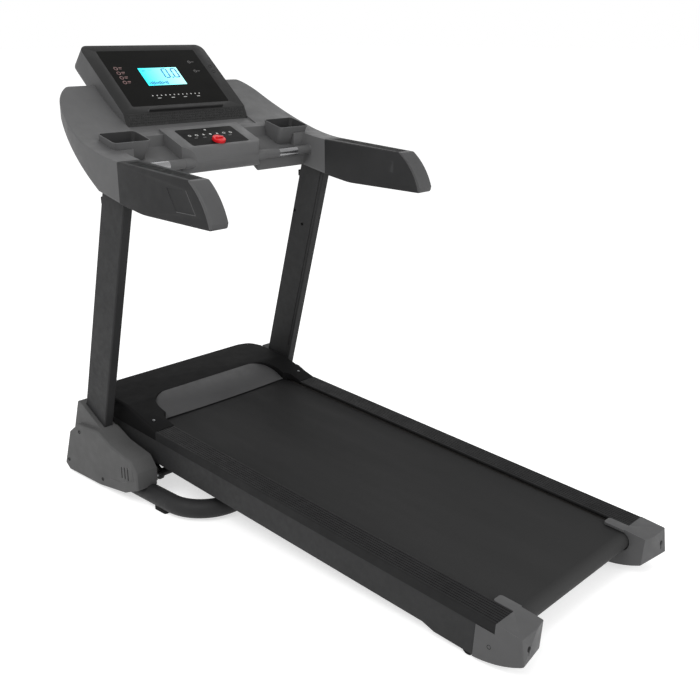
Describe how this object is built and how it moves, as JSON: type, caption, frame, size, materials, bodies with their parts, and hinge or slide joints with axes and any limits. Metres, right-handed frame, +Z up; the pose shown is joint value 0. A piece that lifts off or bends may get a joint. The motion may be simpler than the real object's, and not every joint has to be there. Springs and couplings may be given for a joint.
{
  "type": "treadmill",
  "caption": "Folding motorised treadmill with a running belt over rollers, foot rails, motor hood, leaning uprights, handrails and a console with a screen.",
  "frame": {"origin": "on the floor, below the middle of the whole treadmill's box", "axes": "+X to the runner's right, +Y forward from the rear rollers to the console, +Z up"},
  "size_m": [0.92, 1.911, 1.408],
  "materials": {
    "frame_paint": "fine textured black powder coat on steel",
    "steel": "plain machined steel",
    "motor_paint": "satin dark paint on the motor's steel case",
    "grey_plastic": "moulded dark grey plastic with a fine grain",
    "black_plastic": "moulded black plastic with a fine grain",
    "rubber": "plain moulded black rubber",
    "belt": "dark woven-backed belt with a fine diamond pattern",
    "board": "dark waxed fibreboard",
    "controller_metal": "finned heat sink",
    "screen": "black gloss screen face",
    "lcd": "lit cyan display",
    "key_red": "red moulded plastic",
    "switch_black": "black rocker"
  },
  "bodies": {
    "base": {"base_side_tubes": "frame_paint", "base_bow": "frame_paint", "base_front_tube": "frame_paint", "base_feet": "rubber", "upright_right": "frame_paint", "upright_left": "frame_paint", "base_cover_right": "grey_plastic", "base_cover_left": "grey_plastic", "lift_shaft": "steel", "incline_motor": "frame_paint", "console_upper_shell": "grey_plastic", "console_lower_shell": "black_plastic", "control_pod": "grey_plastic", "control_panel": "screen", "display_housing": "black_plastic", "display_glass": "screen", "lcd_panel": "lcd", "speaker_grille": "black_plastic", "cup_holders": "black_plastic", "pulse_bars": "black_plastic", "pulse_plates": "steel", "handrail_right": "black_plastic", "handrail_left": "black_plastic", "handrail_cap_right": "grey_plastic", "handrail_cap_left": "grey_plastic", "grip_strips": "rubber", "handrail_tubes": "frame_paint"},
    "lift_frame": {"lift_arms": "frame_paint", "lift_tube": "frame_paint"},
    "fold_axle": {"fold_axle": "frame_paint"},
    "deck": {"side_frame_right": "frame_paint", "side_frame_left": "frame_paint", "cross_members": "frame_paint", "deck_cushions": "rubber", "running_board": "board", "running_belt": "belt", "roller_shafts": "steel", "belt_adjusters": "steel", "foot_rail_right": "black_plastic", "foot_rail_left": "black_plastic", "rear_cap_right": "grey_plastic", "rear_cap_left": "grey_plastic", "rear_feet": "rubber", "motor_hood": "black_plastic", "hood_insert": "grey_plastic", "motor_tray": "frame_paint", "drive_motor": "motor_paint", "drive_belt": "rubber", "motor_controller": "controller_metal", "power_inlet": "black_plastic"},
    "strut_barrel": {"strut_barrel": "frame_paint"},
    "strut_rod": {"strut_rod": "steel"},
    "incline_screw": {"incline_screw": "steel"},
    "front_roller": {"front_roller": "steel"},
    "rear_roller": {"rear_roller": "steel"},
    "motor_flywheel": {"motor_flywheel": "steel"},
    "transport_wheel_right": {"transport_wheel_right": "rubber"},
    "transport_wheel_left": {"transport_wheel_left": "rubber"},
    "safety_key": {"safety_key": "key_red"},
    "power_switch": {"power_switch": "switch_black"}
  },
  "joints": [
    {"name": "incline", "type": "hinge", "parent": "base", "child": "lift_frame", "pos_m": [0, 0.52669, 0.04], "axis": [1, 0, 0], "range_deg": [0, 21.91]},
    {"name": "axle_level", "type": "hinge", "parent": "lift_frame", "child": "fold_axle", "pos_m": [0, 0.7676, 0.17687], "axis": [1, 0, 0], "range_deg": [-19.2, 0.2]},
    {"name": "deck_fold", "type": "hinge", "parent": "fold_axle", "child": "deck", "pos_m": [0, 0.7676, 0.17687], "axis": [-1, 0, 0], "range_deg": [0, 60]},
    {"name": "strut_swing", "type": "hinge", "parent": "fold_axle", "child": "strut_barrel", "pos_m": [0.12, 0.60484, 0.06064], "axis": [-1, 0, 0], "range_deg": [-0.2, 67.37]},
    {"name": "strut_stroke", "type": "slide", "parent": "strut_barrel", "child": "strut_rod", "axis": [0, -0.9965, 0.0841], "range_m": [-0.0005, 0.1933]},
    {"name": "incline_stroke", "type": "slide", "parent": "base", "child": "incline_screw", "axis": [0, -0.9769, -0.2137], "range_m": [-0.0005, 0.0329]},
    {"name": "front_roller_spin", "type": "hinge", "parent": "deck", "child": "front_roller", "pos_m": [0, 0.60565, 0.19791], "axis": [1, 0, 0], "continuous": true},
    {"name": "rear_roller_spin", "type": "hinge", "parent": "deck", "child": "rear_roller", "pos_m": [0, -0.86249, 0.09138], "axis": [1, 0, 0], "continuous": true},
    {"name": "motor_spin", "type": "hinge", "parent": "deck", "child": "motor_flywheel", "pos_m": [0, 0.71669, 0.21529], "axis": [1, 0, 0], "continuous": true},
    {"name": "wheel_right_spin", "type": "hinge", "parent": "base", "child": "transport_wheel_right", "pos_m": [0.352, 0.86669, 0.0255], "axis": [1, 0, 0], "continuous": true},
    {"name": "wheel_left_spin", "type": "hinge", "parent": "base", "child": "transport_wheel_left", "pos_m": [-0.352, 0.86669, 0.0255], "axis": [1, 0, 0], "continuous": true},
    {"name": "key_pull", "type": "slide", "parent": "base", "child": "safety_key", "axis": [0, -0.3877, 0.9218], "range_m": [0, 0.012]},
    {"name": "switch_rock", "type": "hinge", "parent": "deck", "child": "power_switch", "pos_m": [0.229, 0.83271, 0.1846], "axis": [1, 0, 0], "range_deg": [-5, 5]}
  ],
  "couplings": [
    {"joint": "axle_level", "follows": "incline", "ratio": -0.86525},
    {"joint": "incline_stroke", "follows": "incline", "m_per_rad": 0.084455},
    {"joint": "strut_swing", "follows": "deck_fold", "ratio": 1.1179},
    {"joint": "strut_stroke", "follows": "deck_fold", "m_per_rad": 0.18384},
    {"joint": "rear_roller_spin", "follows": "front_roller_spin", "ratio": 1},
    {"joint": "motor_spin", "follows": "front_roller_spin", "ratio": 2.2667}
  ]
}
